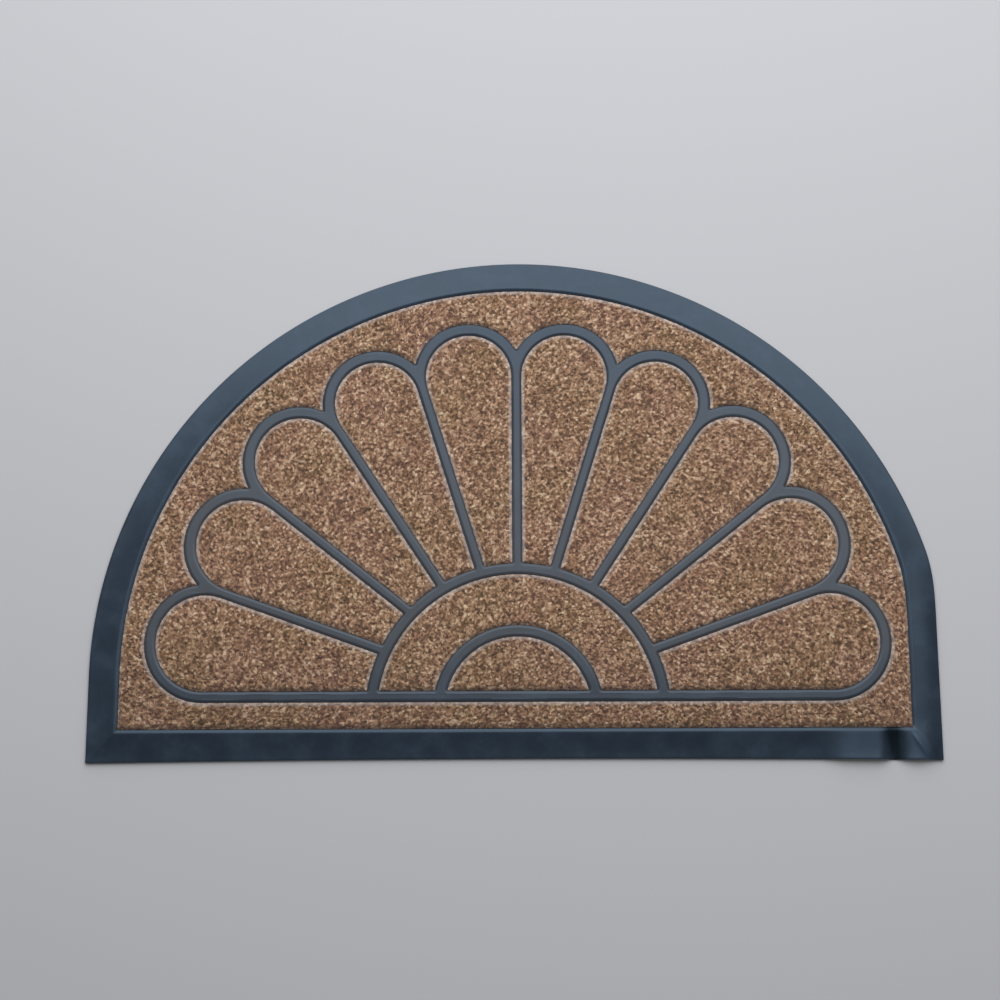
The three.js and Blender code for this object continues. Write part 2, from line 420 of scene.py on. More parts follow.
@dataclass(frozen=True)
class Fan:
    """The pattern of ribs, about an upright axis at axis_x, and the carpet fields between them."""

    axis_x: float = -1.5
    half_spoke: float = 4.4
    base_low: float = 51.0
    base_high: float = 60.8
    hub_y: float = 40.2
    hub_inner: float = 122.6
    hub_outer: float = 132.8
    sun_y: float = 44.2
    sun_inner: float = 63.7
    sun_outer: float = 74.1
    corner: float = 0.9
    spokes: tuple[Spoke, ...] = (
        Spoke(90.0, 0.0),
        Spoke(72.56, 63.0),
        Spoke(56.6, 51.9),
        Spoke(38.5, 54.5),
        Spoke(19.8, 53.75),
    )
    heads: tuple[Head, ...] = (
        Head("first", 38.46, 10.8),
        Head("second", 38.06, 10.8),
        Head("third", 39.81, 10.8),
        Head("fourth", 40.96, 10.8),
        Head("end", 42.1, 9.8),
    )

    def petals(self) -> list[Petal]:
        """The five petals on the right, from the upright spoke to the base rib.

        Each head's circle touches both sides, so its middle lies where the sides meet once they are
        moved inwards by its radius.
        """
        made = []
        for i, head in enumerate(self.heads):
            spoke = self.spokes[i]
            upper = (spoke.beside(-self.half_spoke), spoke.angle)
            if i + 1 < len(self.spokes):
                lower = (self.spokes[i + 1].beside(self.half_spoke), self.spokes[i + 1].angle)
            else:
                lower = (np.array([0.0, self.base_high]), 0.0)
            inside_upper = spoke.beside(-self.half_spoke - head.radius)
            inside_lower = lower[0] + head.radius * direction(lower[1] + 90)
            centre = crossing(inside_upper, upper[1], inside_lower, lower[1])
            made.append(Petal(head, upper, lower, centre))
        return made

    def on_hub(self, line: tuple[np.ndarray, float]) -> float:
        """Angle in degrees, about the hub's middle, at which a line leaves the hub ring.

        Args:
            line: A point on the line and its angle.

        Returns:
            The angle from the hub's middle to that crossing.
        """
        start, angle = line
        way = direction(angle)
        offset = start - (0, self.hub_y)
        middle = -float(offset @ way)
        reach = math.sqrt(self.hub_outer**2 - float(offset @ offset) + middle**2)
        at = offset + way * (middle + reach)
        return math.degrees(math.atan2(at[1], at[0]))

    def petal_loop(self, petal: Petal) -> Loop:
        """A petal's field: hub arc, lower side, crown of the head and upper side, each a side."""
        hub = np.array([0.0, self.hub_y])
        first, last = self.on_hub(petal.upper), self.on_hub(petal.lower)
        start, stop = petal.lower[1] - 90, petal.upper[1] + 90
        quarter = (stop - start) / 4
        bottom = arc(hub, self.hub_outer, first, last)
        low = arc(petal.centre, petal.head.radius, start, start + quarter)
        crown = arc(petal.centre, petal.head.radius, start + quarter, stop - quarter)
        high = arc(petal.centre, petal.head.radius, stop - quarter, stop)
        return Loop.from_sides(
            [bottom, np.concatenate([bottom[-1:], low]), crown, np.concatenate([high, bottom[:1]])],
            self.corner,
        )

    def band_loop(self) -> Loop:
        """Field between the two rings, from its right foot round the outer arc."""
        outer = math.degrees(math.asin((self.base_high - self.hub_y) / self.hub_inner))
        inner = math.degrees(math.asin((self.base_high - self.sun_y) / self.sun_outer))
        top = arc(np.array([0.0, self.hub_y]), self.hub_inner, outer, 180 - outer)
        low = arc(np.array([0.0, self.sun_y]), self.sun_outer, 180 - inner, inner)
        left, right = np.stack([top[-1], low[0]]), np.stack([low[-1], top[0]])
        return Loop.from_sides([low, right, top, left], self.corner)

    def sun_loop(self) -> Loop:
        """Field inside the small ring: the base rib's edge and three stretches of the arc."""
        end = math.degrees(math.asin((self.base_high - self.sun_y) / self.sun_inner))
        centre = np.array([0.0, self.sun_y])
        quarter = (180 - 2 * end) / 4
        right = arc(centre, self.sun_inner, end, end + quarter)
        crown = arc(centre, self.sun_inner, end + quarter, 180 - end - quarter)
        left = arc(centre, self.sun_inner, 180 - end - quarter, 180 - end)
        return Loop.from_sides([np.stack([left[-1], right[0]]), right, crown, left], self.corner)

    def outer_loop(self) -> Loop:
        """Outer edge of the ribs: the base rib's lower edge, then an arc round each head."""
        petals = self.petals()
        circles = [(p.centre, p.head.radius + p.head.rib) for p in petals]
        twin = (circles[0][0] * (-1, 1), circles[0][1])
        notches = [circles_meet(*c, *b) for c, b in zip(circles, [twin, *circles[:-1]])]
        arcs = []
        for i, (centre, radius) in enumerate(circles):
            is_end = i == len(circles) - 1
            start = -90.0 if is_end else self.angle_to(centre, notches[i + 1])
            arcs.append(arc(centre, radius, start, self.angle_to(centre, notches[i])))
        right = np.concatenate([a[:-1] for a in arcs[::-1]] + [notches[0][None]])
        half = np.concatenate([[[0.0, self.base_low]], right])
        left = (half * (-1, 1))[::-1]
        return Loop.from_sides([half, left], self.corner)

    @staticmethod
    def angle_to(centre: np.ndarray, point: np.ndarray) -> float:
        """Angle in degrees from one point to another."""
        way = point - centre
        return math.degrees(math.atan2(way[1], way[0]))


# Meshes


class Shell:
    """Vertices and faces of one closed mesh, built up so that neighbouring surfaces share vertices."""

    def __init__(self) -> None:
        """Starts with nothing."""
        self.vertices: list[np.ndarray] = []
        self.faces: list[np.ndarray] = []
        self.count = 0

    def add(self, points: np.ndarray) -> np.ndarray:
        """Adds vertices of any grid shape and returns their indices in the same shape."""
        flat = points.reshape(-1, 3)
        ids = np.arange(self.count, self.count + len(flat)).reshape(points.shape[:-1])
        self.vertices.append(flat)
        self.count += len(flat)
        return ids

    def quads(self, ids: np.ndarray, closed: bool = False) -> None:
        """Faces between the neighbours of a grid of indices.

        A face turns from one row to the next column, so it points up where rows run to the left of
        columns.

        Args:
            ids: Indices, (rows, columns).
            closed: True if the last column joins the first.
        """
        if closed:
            ids = np.concatenate([ids, ids[:, :1]], axis=1)
        corners = [ids[:-1, :-1], ids[:-1, 1:], ids[1:, 1:], ids[1:, :-1]]
        self.faces.append(np.stack(corners, axis=-1).reshape(-1, 4))

    def fill(self, loops: list[np.ndarray], up: bool) -> None:
        """Flat faces inside the first loop of indices and outside the others.

        Args:
            loops: Loops of vertex indices that lie in one level plane.
            up: True if the faces point up.
        """
        points = np.concatenate(self.vertices)
        flat = np.concatenate(loops)
        found = tessellate_polygon([[Vector(p) for p in points[loop]] for loop in loops])
        triangles = flat[np.array(found)]
        a, b, c = (points[triangles[:, k], :2] for k in range(3))
        turn = (b - a)[:, 0] * (c - a)[:, 1] - (b - a)[:, 1] * (c - a)[:, 0]
        self.faces.append(triangles if (turn.sum() > 0) == up else triangles[:, ::-1])

    def points(self) -> np.ndarray:
        """All vertices so far, (n, 3)."""
        return np.concatenate(self.vertices)

    def piece(
        self, name: str, points: np.ndarray, attributes: dict[str, np.ndarray]
    ) -> bpy.types.Object:
        """Makes the Blender object, smooth all over.

        Args:
            name: The object's name.
            points: Final vertices in metres.
            attributes: A number for each vertex, by name.

        Returns:
            The linked object, at the origin.
        """
        mesh = bpy.data.meshes.new(name)
        faces = [face for block in self.faces for face in block.tolist()]
        mesh.from_pydata(points.tolist(), [], faces)
        mesh.validate()
        mesh.polygons.foreach_set("use_smooth", np.ones(len(mesh.polygons), dtype=bool))
        for key, values in attributes.items():
            layer = mesh.attributes.new(key, "FLOAT", "POINT")
            layer.data.foreach_set("value", np.asarray(values, dtype=np.float32))
        mesh.update()
        piece = bpy.data.objects.new(name, mesh)
        bpy.context.scene.collection.objects.link(piece)
        return piece

    @staticmethod
    def sharpen(piece: bpy.types.Object, lines: list[np.ndarray]) -> None:
        """Marks as sharp every edge that joins two vertices of one line.

        Args:
            piece: The object.
            lines: Vertex indices of each line.
        """
        ends = np.empty(len(piece.data.edges) * 2, dtype=np.int32)
        piece.data.edges.foreach_get("vertices", ends)
        ends = ends.reshape(-1, 2)
        sharp = np.zeros(len(ends), dtype=bool)
        for line in lines:
            sharp |= np.isin(ends, line).all(axis=1)
        piece.data.edges.foreach_set("use_edge_sharp", sharp)


class ValueNoise:
    """Smooth random relief: seeded values on a square lattice, joined by eased interpolation."""

    def __init__(self, spacing: float, seed: int, size: int = 256) -> None:
        """Draws the lattice.

        Args:
            spacing: Lattice spacing in mm.
            seed: Seed of its values.
            size: Lattice points each way, past which it repeats.
        """
        self.spacing = spacing
        self.values = np.random.default_rng(seed).uniform(-1, 1, (size, size))

    def at(self, xy: np.ndarray) -> np.ndarray:
        """Relief from -1 to 1 at points, eased by 3t² - 2t³ between the four nearest values."""
        cell = xy / self.spacing
        low = np.floor(cell).astype(int)
        ease = eased(cell - low)
        size = self.values.shape[0]
        x0, y0 = low[..., 0] % size, low[..., 1] % size
        x1, y1 = (x0 + 1) % size, (y0 + 1) % size
        near = self.values[y0, x0] * (1 - ease[..., 0]) + self.values[y0, x1] * ease[..., 0]
        far = self.values[y1, x0] * (1 - ease[..., 0]) + self.values[y1, x1] * ease[..., 0]
        return near * (1 - ease[..., 1]) + far * ease[..., 1]


class Pile:
    """Needled pile: one curled lock of fibres in each cell of a jittered lattice."""

    LOCK_LENGTH: float = 1.25
    LOCK_WIDTH: float = 0.62

    def __init__(self, spacing: float = 2.3, seed: int = SEED, size: int = 400) -> None:
        """Draws each lock's place, heading, height and shade.

        Args:
            spacing: Distance between locks in mm.
            seed: Seed of the draws.
            size: Lattice cells each way.
        """
        rng = np.random.default_rng(seed)
        self.spacing = spacing
        self.size = size
        self.place = rng.uniform(0.1, 0.9, (size, size, 2))
        self.heading = rng.uniform(0, np.pi, (size, size))
        self.height = rng.uniform(0.45, 1.0, (size, size))
        self.shade = rng.uniform(0, 1, (size, size))

    def at(self, xy: np.ndarray) -> tuple[np.ndarray, np.ndarray]:
        """Relief and shade of the pile at points.

        A lock is a dome, 1 - d², where d is the distance from its middle, shortened along its
        heading and lengthened across it. The highest of the nine nearest locks counts, and gives
        its shade.

        Args:
            xy: Points in mm, (..., 2).

        Returns:
            Relief from 0 to 1, and shade from 0 to 1.
        """
        cell = xy / self.spacing
        base = np.floor(cell).astype(int)
        relief = np.full(cell.shape[:-1], -1.0)
        shade = np.zeros(cell.shape[:-1])
        for dy in (-1, 0, 1):
            for dx in (-1, 0, 1):
                ix = (base[..., 0] + dx) % self.size
                iy = (base[..., 1] + dy) % self.size
                offset = cell - base - (dx, dy) - self.place[iy, ix]
                turn = self.heading[iy, ix]
                long = offset[..., 0] * np.cos(turn) + offset[..., 1] * np.sin(turn)
                wide = offset[..., 1] * np.cos(turn) - offset[..., 0] * np.sin(turn)
                dome = self.height[iy, ix] - (long / self.LOCK_LENGTH) ** 2
                dome = dome - (wide / self.LOCK_WIDTH) ** 2
                higher = dome > relief
                relief = np.where(higher, dome, relief)
                shade = np.where(higher, self.shade[iy, ix], shade)
        return np.clip(relief, 0, 1), shade


# Finishes

MULTIPLIED = {"operation": "MULTIPLY"}
SCALED_AND_MOVED = {"operation": "MULTIPLY_ADD"}
COLOURS = {"data_type": "RGBA"}
TINTED = {"data_type": "RGBA", "blend_type": "MULTIPLY"}

Stops = tuple[tuple[float, str], ...] | tuple[tuple[float, float], ...]


class Kind(Enum):
    """Shader nodes of the finishes: Blender's name of each, and the output that is read."""

    PLACE = ("ShaderNodeTexCoord", "Object")
    ATTRIBUTE = ("ShaderNodeAttribute", "Fac")
    NOISE = ("ShaderNodeTexNoise", "Fac")
    NOISE_COLOUR = ("ShaderNodeTexNoise", "Color")
    CELLS = ("ShaderNodeTexVoronoi", "Color")
    RED = ("ShaderNodeSeparateColor", 0)
    NORTHING = ("ShaderNodeSeparateXYZ", "Y")
    MATH = ("ShaderNodeMath", 0)
    VECTOR_MATH = ("ShaderNodeVectorMath", 0)
    RANGE = ("ShaderNodeMapRange", 0)
    RAMP = ("ShaderNodeValToRGB", "Color")
    COLOUR_MIX = ("ShaderNodeMix", 2)
    VALUE_MIX = ("ShaderNodeMix", 0)
    BUMP = ("ShaderNodeBump", 0)
    SURFACE = ("ShaderNodeBsdfPrincipled", 0)
    OUTPUT = ("ShaderNodeOutputMaterial", None)


def linear(colour: str) -> tuple[float, float, float, float]:
    """An sRGB hex colour as linear red, green, blue and alpha.

    Args:
        colour: Six hex digits after a hash.

    Returns:
        Four numbers from 0 to 1.
    """
    parts = [int(colour[i : i + 2], 16) / 255 for i in (1, 3, 5)]
    flat = [p / 12.92 if p <= 0.04045 else ((p + 0.055) / 1.055) ** 2.4 for p in parts]
    return (flat[0], flat[1], flat[2], 1.0)


def add_node(
    tree: bpy.types.NodeTree,
    kind: Kind,
    settings: dict[str, object] | None = None,
    **links: object,
) -> bpy.types.NodeSocket | None:
    """Adds a node with its settings and its inputs.

    Args:
        tree: The material's node tree.
        kind: Which node it is.
        settings: Values of the node's own properties. A ramp's stops are its hex colour or plain
            value at each place from 0 to 1.
        **links: For each input, named with underscores for spaces, or by i and its number, a socket
            to link from or a value to set.

    Returns:
        The output that is read, or None where the node has no output.
    """
    name, output = kind.value
    node = tree.nodes.new(name)
    own = dict(settings or {})
    stops = own.pop("stops", ())
    for key, value in own.items():
        setattr(node, key, value)
    if stops:
        elements = node.color_ramp.elements
        while len(elements) < len(stops):
            elements.new(0.5)
        for element, (place, colour) in zip(elements, stops):
            element.position = place
            element.color = linear(colour) if isinstance(colour, str) else (colour, colour, colour, 1.0)
    for key, value in links.items():
        is_number = key[0] == "i" and key[1:].isdigit()
        socket = node.inputs[int(key[1:])] if is_number else node.inputs[key.replace("_", " ")]
        if isinstance(value, bpy.types.NodeSocket):
            tree.links.new(value, socket)
        else:
            socket.default_value = value
    return None if output is None else node.outputs[output]


def new_material(name: str) -> tuple[bpy.types.Material, Callable[..., bpy.types.NodeSocket]]:
    """Makes a material with an empty node tree, and binds add_node to that tree.

    Args:
        name: The material's name.

    Returns:
        The material and the bound function.
    """
    material = bpy.data.materials.new(name)
    material.use_nodes = True
    material.node_tree.nodes.clear()
    return material, partial(add_node, material.node_tree)


@dataclass(frozen=True)
class MouldedRubber:
    """Vulcanised SBR rubber from an open mould: dark blue-grey with a satin skin.

    The skin's bluish sheen is what makes the mat paler towards the light, and a thin bloom
    clouds it. A paler colour is painted on the buckle's crests as a highlight. Shoes wear the ribs
    warmer and duller, and the buckle's crease is darkened by painted shade, in colour and in the
    tint of its reflection.

    Attributes:
        tread: How much of the wear shows at each share of the mat's depth, front edge first.
    """

    body: str = "#27313c"
    bloom: str = "#3a4652"
    deep: str = "#1e262f"
    # Paler colour painted on the buckle's crests as a highlight.
    crest_highlight_colour: str = "#4f5f6f"
    # Dark colour painted in the buckle's crease as shade.
    crease_shade_colour: str = "#0d1519"
    scuffed: str = "#66625d"
    sheen: str = "#bdd4e2"
    dust: str = "#a8a39c"
    # Reflection tint in the crease's painted shade.
    crease_shade_tint: str = "#5d6d78"
    crest_highlight_share: float = 0.3
    cloud_share: float = 0.5
    crease_shade_share: float = 0.9
    tread: Stops = ((0.08, 0.12), (0.24, 0.38), (0.5, 0.38), (0.75, 0.2), (0.95, 0.05))
    grain_mm: float = 0.9
    grain_depth_mm: float = 0.2
    cloud_mm: float = 22.0
    roughness: float = 0.37
    ior: float = 1.66

    def build(self, sizes: MatSizes) -> bpy.types.Material:
        """Makes the material.

        Args:
            sizes: The mat's sizes, for the depth that the tread is measured over.

        Returns:
            The material.
        """
        material, node = new_material("moulded SBR rubber")
        place = node(Kind.PLACE)
        cloud = node(Kind.NOISE, Vector=place, Scale=1 / (self.cloud_mm * MM), Detail=5.0, Roughness=0.6)
        clouded = {"stops": ((0.32, self.deep), (0.5, self.body), (0.7, self.bloom))}
        colour = node(Kind.RAMP, clouded, i0=cloud)
        colour = node(Kind.COLOUR_MIX, COLOURS, i0=self.cloud_share, i6=colour, i7=linear(self.body))
        # Painted highlight: a paler colour on the buckle's crests, where they tilt towards the lights.
        flexed = node(Kind.ATTRIBUTE, {"attribute_name": "flexed"})
        crest_highlighted = node(Kind.MATH, MULTIPLIED, i0=flexed, i1=self.crest_highlight_share)
        colour = node(Kind.COLOUR_MIX, COLOURS, i0=crest_highlighted, i6=colour, i7=linear(self.crest_highlight_colour))
        northing = node(Kind.NORTHING, i0=place)
        half_depth = sizes.depth / 2 * MM
        depth = node(Kind.RANGE, Value=northing, i1=-half_depth, i2=half_depth)
        tread = node(Kind.RAMP, {"stops": self.tread}, i0=depth)
        worn = node(Kind.ATTRIBUTE, {"attribute_name": "worn"})
        rubbed = node(Kind.MATH, MULTIPLIED, i0=worn, i1=tread)
        colour = node(Kind.COLOUR_MIX, COLOURS, i0=rubbed, i6=colour, i7=linear(self.scuffed))
        # Painted shade: the buckle's crease is darkened, in colour and in the tint of its reflection.
        grime = node(Kind.ATTRIBUTE, {"attribute_name": "grime"})
        crease_shaded = node(Kind.RANGE, Value=grime, i1=0.05, i2=0.75, i4=self.crease_shade_share)
        colour = node(Kind.COLOUR_MIX, COLOURS, i0=crease_shaded, i6=colour, i7=linear(self.crease_shade_colour))
        sheen = node(Kind.COLOUR_MIX, COLOURS, i0=rubbed, i6=linear(self.sheen), i7=linear(self.dust))
        sheen = node(Kind.COLOUR_MIX, COLOURS, i0=crease_shaded, i6=sheen, i7=linear(self.crease_shade_tint))
        rougher = (self.roughness - 0.03, self.roughness + 0.05)
        rough = node(Kind.RANGE, Value=cloud, i1=0.3, i2=0.7, i3=rougher[0], i4=rougher[1])
        grain = node(Kind.NOISE, Vector=place, Scale=1 / (self.grain_mm * MM), Detail=3.0)
        bump = node(Kind.BUMP, Strength=0.22, Distance=self.grain_depth_mm * MM, Height=grain)
        surface = node(
            Kind.SURFACE,
            Base_Color=colour,
            Roughness=rough,
            Normal=bump,
            IOR=self.ior,
            Specular_Tint=sheen,
        )
        node(Kind.OUTPUT, Surface=surface)
        return material


@dataclass(frozen=True)
class NeedledCarpet:
    """Needle-punched polypropylene: matt brown fibres, flecked from near black to tan.

    The edges are pressed down and glazed by the mould. Where they face back, towards the lights,
    they are smoother and a paler colour is painted on them as a highlight; where they face the
    front a dark colour is painted on them as shade. A lock of fibres is drawn 1.9 mm wide,
    coarser than single fibres, which are too fine to show.

    Attributes:
        shades: Colour at each shade of the pile.
        band: How much of the painted edge highlight shows at each share of edge_mm inwards.
        edge_shade_band: The same for the painted edge shade.
        band_flecks: Least and greatest share of the band on dark and pale flecks.
        shadow: Share of the light that is left between the locks.
    """

    shades: Stops = (
        (0.12, "#402b1d"),
        (0.33, "#7c583c"),
        (0.53, "#a57b59"),
        (0.73, "#cda37c"),
        (0.93, "#fcdfb9"),
    )
    # Paler colour painted on edges that face the lights, as a highlight.
    painted_edge_highlight: str = "#c9bfb5"
    # Dark colour painted on edges that face the front, as shade.
    painted_edge_shade: str = "#2f2722"
    olive: str = "#8a7048"
    rose: str = "#9a7060"
    band: Stops = ((0.0, 0.3), (0.12, 0.5), (0.38, 0.5), (0.66, 0.0))
    edge_shade_band: Stops = ((0.0, 0.2), (0.2, 0.55), (0.44, 0.5), (1.0, 0.0))
    band_flecks: tuple[float, float] = (0.55, 1.15)
    shadow: float = 0.45
    tint_share: float = 0.22
    cell_share: float = 0.6
    fibre_swing: float = 1.1
    fibre_mm: float = 1.0
    fibre_depth_mm: float = 0.6
    curl_mm: float = 2.0
    lock_mm: float = 1.9
    drift_mm: float = 60.0
    edge_mm: float = 5.0

    def shade(
        self,
        node: Callable[..., bpy.types.NodeSocket],
        place: bpy.types.NodeSocket,
        fibre: bpy.types.NodeSocket,
    ) -> bpy.types.NodeSocket:
        """Shade of the pile: its flecks and curled cells of colour, swung by each fibre's own shade.

        Args:
            node: Adds a node to the material.
            place: Object coordinates.
            fibre: The fibres' noise.

        Returns:
            The shade's socket.
        """
        fleck = node(Kind.ATTRIBUTE, {"attribute_name": "shade"})
        warp = node(Kind.NOISE_COLOUR, Vector=place, Scale=1 / (3 * self.fibre_mm * MM))
        curl = (self.curl_mm * MM, self.curl_mm * MM, 0.0)
        curled = node(Kind.VECTOR_MATH, SCALED_AND_MOVED, i0=warp, i1=curl, i2=place)
        cells = node(Kind.CELLS, Vector=curled, Scale=1 / (self.lock_mm * MM))
        cell = node(Kind.RED, i0=cells)
        coarse = node(Kind.VALUE_MIX, {"data_type": "FLOAT"}, i0=self.cell_share, i2=fleck, i3=cell)
        fine = node(Kind.MATH, SCALED_AND_MOVED, i0=fibre, i1=self.fibre_swing, i2=-self.fibre_swing / 2)
        return node(Kind.MATH, {"operation": "ADD"}, i0=coarse, i1=fine)

    def build(self) -> bpy.types.Material:
        """Makes the material, which reads the pile's shade, relief, edge distance and facing."""
        material, node = new_material("needle-punched polypropylene")
        place = node(Kind.PLACE)
        detail = {"Detail": 3.0, "Roughness": 0.65, "Distortion": 1.6}
        fibre = node(Kind.NOISE, Vector=place, Scale=1 / (self.fibre_mm * MM), **detail)
        colour = node(Kind.RAMP, {"stops": self.shades}, i0=self.shade(node, place, fibre))
        drift = node(Kind.NOISE, Vector=place, Scale=1 / (self.drift_mm * MM), Detail=2.0)
        tint = node(Kind.RAMP, {"stops": ((0.38, self.olive), (0.62, self.rose))}, i0=drift)
        colour = node(Kind.COLOUR_MIX, COLOURS, i0=self.tint_share, i6=colour, i7=tint)
        relief = node(Kind.ATTRIBUTE, {"attribute_name": "relief"})
        lit = node(Kind.RANGE, Value=relief, i2=0.6, i3=self.shadow, i4=1.0)
        colour = node(Kind.COLOUR_MIX, TINTED, i0=1.0, i6=colour, i7=lit)
        edge = node(Kind.ATTRIBUTE, {"attribute_name": "edge"})
        inwards = node(Kind.MATH, MULTIPLIED, i0=edge, i1=1 / self.edge_mm)
        facing = node(Kind.ATTRIBUTE, {"attribute_name": "facing"})
        fleck = node(Kind.ATTRIBUTE, {"attribute_name": "shade"})
        flecked = node(Kind.RANGE, Value=fleck, i3=self.band_flecks[0], i4=self.band_flecks[1])
        # Painted highlight: a paler colour, and lower roughness further down, on edges facing back,
        # towards the lights.
        band = node(Kind.RAMP, {"stops": self.band}, i0=inwards)
        band = node(Kind.MATH, MULTIPLIED, i0=band, i1=flecked)
        backwards = node(Kind.RANGE, Value=facing, i1=-0.95, i2=0.0)
        painted_edge_highlight = node(Kind.MATH, MULTIPLIED, i0=band, i1=backwards)
        colour = node(Kind.COLOUR_MIX, COLOURS, i0=painted_edge_highlight, i6=colour, i7=linear(self.painted_edge_highlight))
        # Painted shade: a dark colour on the edges that face the front, away from the lights.
        edge_shade_band = node(Kind.RAMP, {"stops": self.edge_shade_band}, i0=inwards)
        forwards = node(Kind.RANGE, Value=facing, i1=-1.0, i2=-0.6, i3=1.0, i4=0.0)
        painted_edge_shade = node(Kind.MATH, MULTIPLIED, i0=edge_shade_band, i1=forwards)
        colour = node(Kind.COLOUR_MIX, COLOURS, i0=painted_edge_shade, i6=colour, i7=linear(self.painted_edge_shade))
        # Darker towards the mat's front edge.
        northing = node(Kind.NORTHING, i0=place)
        frontward_darkening = node(Kind.RANGE, Value=northing, i1=-0.19, i2=-0.1, i3=0.82, i4=1.0)
        colour = node(Kind.COLOUR_MIX, TINTED, i0=1.0, i6=colour, i7=frontward_darkening)
        rough = node(Kind.RANGE, Value=painted_edge_highlight, i2=0.8, i3=0.93, i4=0.55)
        bump = node(Kind.BUMP, Strength=0.6, Distance=self.fibre_depth_mm * MM, Height=fibre)
        surface = node(
            Kind.SURFACE,
            Base_Color=colour,
            Roughness=rough,
            Normal=bump,
            Sheen_Weight=0.15,
            Sheen_Roughness=0.6,
            Specular_IOR_Level=0.4,
        )
        node(Kind.OUTPUT, Surface=surface)
        return material


# Sub-assemblies


@dataclass(frozen=True)
class HalfMoon:
    """The half-moon outlines, all with the same columns, so that surfaces can run between them.

    Attributes:
        front_spacing: Distance between columns along the front, and buckle_spacing at the buckle.
        arc_spacing: The same on the arc.
        side_steps: Steps up each straight side.
        corner_stretch: Length at each end of the front over which columns shift to the corner.
    """

    sizes: MatSizes
    front_spacing: float = 4.0
    buckle_spacing: float = 1.6
    arc_spacing: float = 1.9
    side_steps: int = 14
    corner_stretch: float = 45.0

    def stations(self, buckle: Buckle) -> np.ndarray:
        """X of each column along the front, between the outer corners."""
        left, right = -self.sizes.arc_radius, self.sizes.right_edge
        plain = np.linspace(left, buckle.start, int((buckle.start - left) / self.front_spacing))
        fine = np.linspace(buckle.start, right, int((right - buckle.start) / self.buckle_spacing))
        return np.concatenate([plain[:-1], fine])

    def outline(self, buckle: Buckle, growth: float, is_outside: bool) -> np.ndarray:
        """One outline, anticlockwise from the left front corner.

        The front is straight, or bowed as a parabola. The right side is upright up to the arc, where
        min(radius * cos, right) is softened by a parabola, and the rest is the arc.

        Args:
            buckle: Where the front needs close columns.
            growth: Distance outwards in mm.
            is_outside: True for the mat's outer edge and False for the carpet field's edge.

        Returns:
            The outline, (n, 2).
        """
        s = self.sizes
        radius = (s.arc_radius if is_outside else s.field_radius) + growth
        right = (s.right_edge if is_outside else s.field_right) + growth
        x = self.stations(buckle)
        low, high = -s.arc_radius + self.corner_stretch, s.right_edge - self.corner_stretch
        x = np.where(x < low, low - (low - x) * (low + radius) / self.corner_stretch, x)
        x = np.where(x > high, high + (x - high) * (right - high) / self.corner_stretch, x)
        bow = s.front_bow * np.clip(1 - (x / s.right_edge) ** 2, 0, None)
        y = (bow if is_outside else s.field_front) - growth
        y = np.broadcast_to(y, x.shape)
        climb = np.linspace(0, 1, self.side_steps + 1)[1:-1]
        right_side = [np.full(climb.shape, right), y[-1] + (s.arc_y - y[-1]) * climb]
        left_side = [np.full(climb.shape, -radius), s.arc_y + (y[0] - s.arc_y) * climb]
        count = int(math.pi * s.arc_radius / self.arc_spacing)
        angles = np.linspace(0, math.pi, count)
        across, upward = radius * np.cos(angles), s.arc_y + radius * np.sin(angles)
        overlap = np.clip(s.side_softness - np.abs(across - right), 0, None) / s.side_softness
        softened = np.minimum(across, right) - overlap**2 * s.side_softness / 4
        parts = [[x, y], right_side, [softened, upward], left_side]
        return np.concatenate([np.column_stack(part) for part in parts])


